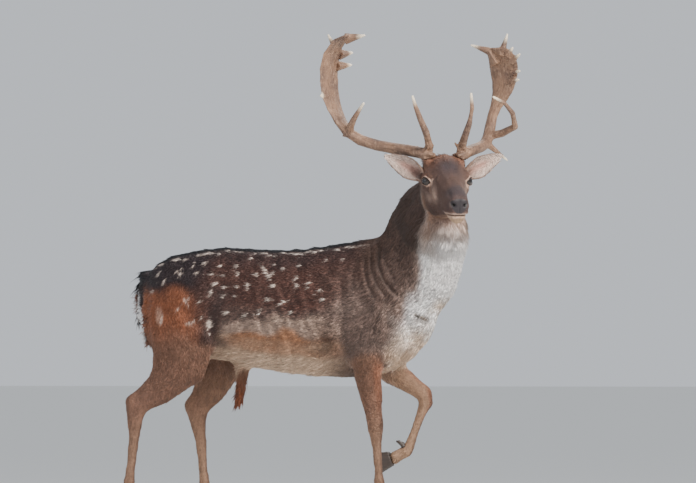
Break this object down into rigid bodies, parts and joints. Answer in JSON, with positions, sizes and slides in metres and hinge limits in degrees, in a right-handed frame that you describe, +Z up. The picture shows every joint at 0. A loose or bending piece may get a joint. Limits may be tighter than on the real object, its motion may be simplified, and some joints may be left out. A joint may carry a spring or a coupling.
{
  "type": "fallow deer",
  "caption": "Life-size fallow deer buck in a dark spotted coat, walking with one forefoot raised, its head turned to its right under palmate antlers.",
  "frame": {"origin": "under the middle of the whole, on the ground", "axes": "+X the way the trunk points, +Y the buck's left, +Z up"},
  "size_m": [1.2254, 0.5338, 1.4735],
  "materials": {
    "back": "short fur, dark brown with white spots",
    "neck": "thick grizzled fur, white in front",
    "head": "short brown fur",
    "leg": "short rufous fur",
    "tail": "long black hair, white below",
    "belly": "long reddish hair",
    "ear": "thin fur, brown behind and pale inside",
    "eye": "wet and glossy",
    "horn": "dark hoof, satin",
    "antler": "rubbed bone, brown with pale tips"
  },
  "bodies": {
    "root": {"trunk": "back", "neck": "neck", "head": "head", "ear_right": "ear", "ear_left": "ear", "tail": "tail", "sheath": "belly", "foreleg_right_forearm": "leg", "foreleg_right_cannon": "leg", "foreleg_left_forearm": "leg", "foreleg_left_cannon": "leg", "hindleg_right_gaskin": "leg", "hindleg_right_cannon": "leg", "hindleg_left_gaskin": "leg", "hindleg_left_cannon": "leg", "antler_right_beam": "antler", "antler_right_palm": "antler", "antler_right_brow_tine": "antler", "antler_right_trez_tine": "antler", "antler_left_beam": "antler", "antler_left_palm": "antler", "antler_left_brow_tine": "antler", "antler_left_trez_tine": "antler", "eye_right": "eye", "eye_left": "eye", "foreleg_right_claw_right": "horn", "foreleg_right_dewclaw_right": "horn", "foreleg_right_claw_left": "horn", "foreleg_right_dewclaw_left": "horn", "foreleg_left_claw_right": "horn", "foreleg_left_dewclaw_right": "horn", "foreleg_left_claw_left": "horn", "foreleg_left_dewclaw_left": "horn", "hindleg_right_claw_right": "horn", "hindleg_right_dewclaw_right": "horn", "hindleg_right_claw_left": "horn", "hindleg_right_dewclaw_left": "horn", "hindleg_left_claw_right": "horn", "hindleg_left_dewclaw_right": "horn", "hindleg_left_claw_left": "horn", "hindleg_left_dewclaw_left": "horn"}
  },
  "joints": []
}
